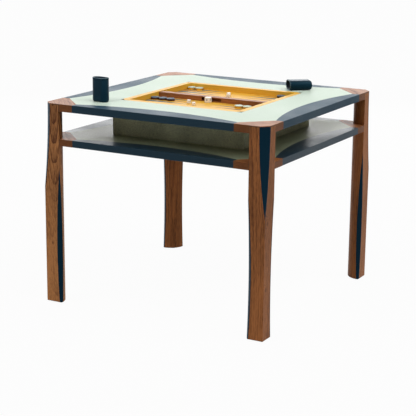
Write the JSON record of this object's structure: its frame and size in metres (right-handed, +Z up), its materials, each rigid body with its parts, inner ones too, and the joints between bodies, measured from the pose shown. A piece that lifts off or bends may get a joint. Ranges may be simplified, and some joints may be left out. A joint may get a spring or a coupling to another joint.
{
  "type": "games table",
  "caption": "Square walnut and leather games table with sculpted posts, a shelf, and a recessed lift-out backgammon tray with loose pieces and dice cups.",
  "frame": {"origin": "on the floor under the middle of the table", "axes": "+Z up, -Y towards the front side, +X to the right"},
  "size_m": [0.9, 0.9, 0.8383],
  "materials": {
    "walnut": "oiled, open grain",
    "navy_leather": "fine pebble, satin",
    "green_leather": "fine pebble, satin",
    "olive_leather": "fine pebble, satin",
    "birch_ply": "sanded",
    "maple": "lacquered",
    "felt": "pressed",
    "steel": "zinc plated",
    "blue_leaf": "dyed leaf, lacquered",
    "brown_leaf": "leaf, lacquered",
    "bone": "polished",
    "blue_piece": "dyed disc in a walnut rim",
    "cream_piece": "cream disc in a maple rim",
    "suede": "suede",
    "glide_nylon": "moulded"
  },
  "bodies": {
    "table": {"leg_front_left": "walnut", "leg_corner_leather_front_left": "navy_leather", "leg_side_leathers_front_left": "navy_leather", "leg_front_right": "walnut", "leg_corner_leather_front_right": "navy_leather", "leg_side_leathers_front_right": "navy_leather", "leg_back_right": "walnut", "leg_corner_leather_back_right": "navy_leather", "leg_side_leathers_back_right": "navy_leather", "leg_back_left": "walnut", "leg_corner_leather_back_left": "navy_leather", "leg_side_leathers_back_left": "navy_leather", "foot_glides": "glide_nylon", "top_core": "birch_ply", "top_field_leather": "green_leather", "top_corner_front_left": "walnut", "top_corner_front_right": "walnut", "top_corner_back_right": "walnut", "top_corner_back_left": "walnut", "top_band_front": "navy_leather", "top_band_right": "navy_leather", "top_band_back": "navy_leather", "top_band_left": "navy_leather", "top_edge_lippings": "birch_ply", "shelf_core": "birch_ply", "shelf_field_leather": "olive_leather", "shelf_corner_front_left": "walnut", "shelf_corner_front_right": "walnut", "shelf_corner_back_right": "walnut", "shelf_corner_back_left": "walnut", "shelf_band_front": "navy_leather", "shelf_band_right": "navy_leather", "shelf_band_back": "navy_leather", "shelf_band_left": "navy_leather", "shelf_edge_lippings": "birch_ply", "corner_bolts": "steel", "well_walls": "birch_ply", "well_cleats": "birch_ply", "well_leather": "olive_leather", "well_bottom": "birch_ply", "well_felt": "felt"},
    "tray": {"tray_rail_front": "maple", "tray_rail_right": "maple", "tray_rail_back": "maple", "tray_rail_left": "maple", "tray_floor": "maple", "tray_points_blue": "blue_leaf", "tray_points_brown": "brown_leaf", "tray_bar": "walnut"},
    "standing_cup": {"cup_standing": "navy_leather", "cup_standing_lining": "suede"},
    "lying_cup": {"cup_lying": "navy_leather", "cup_lying_lining": "suede"},
    "doubling_cube_body": {"doubling_cube": "bone"},
    "dice_front_body": {"dice_front": "bone"},
    "dice_back_body": {"dice_back": "bone"},
    "checkers_blue_three_body": {"checkers_blue_three": "blue_piece"},
    "checkers_blue_two_body": {"checkers_blue_two": "blue_piece"},
    "checkers_cream_three_body": {"checkers_cream_three": "cream_piece"},
    "checkers_cream_two_body": {"checkers_cream_two": "cream_piece"}
  },
  "joints": [
    {"name": "tray_lift", "type": "slide", "parent": "table", "child": "tray", "axis": [0, 0, 1], "range_m": [0, 0.06]},
    {"name": "standing_cup_lift", "type": "slide", "parent": "table", "child": "standing_cup", "axis": [0, 0, 1], "range_m": [0, 0.12]},
    {"name": "lying_cup_lift", "type": "slide", "parent": "table", "child": "lying_cup", "axis": [0, 0, 1], "range_m": [0, 0.06]},
    {"name": "doubling_cube_lift", "type": "slide", "parent": "tray", "child": "doubling_cube_body", "axis": [0, 0, 1], "range_m": [0, 0.035]},
    {"name": "dice_front_lift", "type": "slide", "parent": "tray", "child": "dice_front_body", "axis": [0, 0, 1], "range_m": [0, 0.035]},
    {"name": "dice_back_lift", "type": "slide", "parent": "tray", "child": "dice_back_body", "axis": [0, 0, 1], "range_m": [0, 0.035]},
    {"name": "checkers_blue_three_lift", "type": "slide", "parent": "tray", "child": "checkers_blue_three_body", "axis": [0, 0, 1], "range_m": [0, 0.035]},
    {"name": "checkers_blue_two_lift", "type": "slide", "parent": "tray", "child": "checkers_blue_two_body", "axis": [0, 0, 1], "range_m": [0, 0.035]},
    {"name": "checkers_cream_three_lift", "type": "slide", "parent": "tray", "child": "checkers_cream_three_body", "axis": [0, 0, 1], "range_m": [0, 0.035]},
    {"name": "checkers_cream_two_lift", "type": "slide", "parent": "tray", "child": "checkers_cream_two_body", "axis": [0, 0, 1], "range_m": [0, 0.035]}
  ]
}
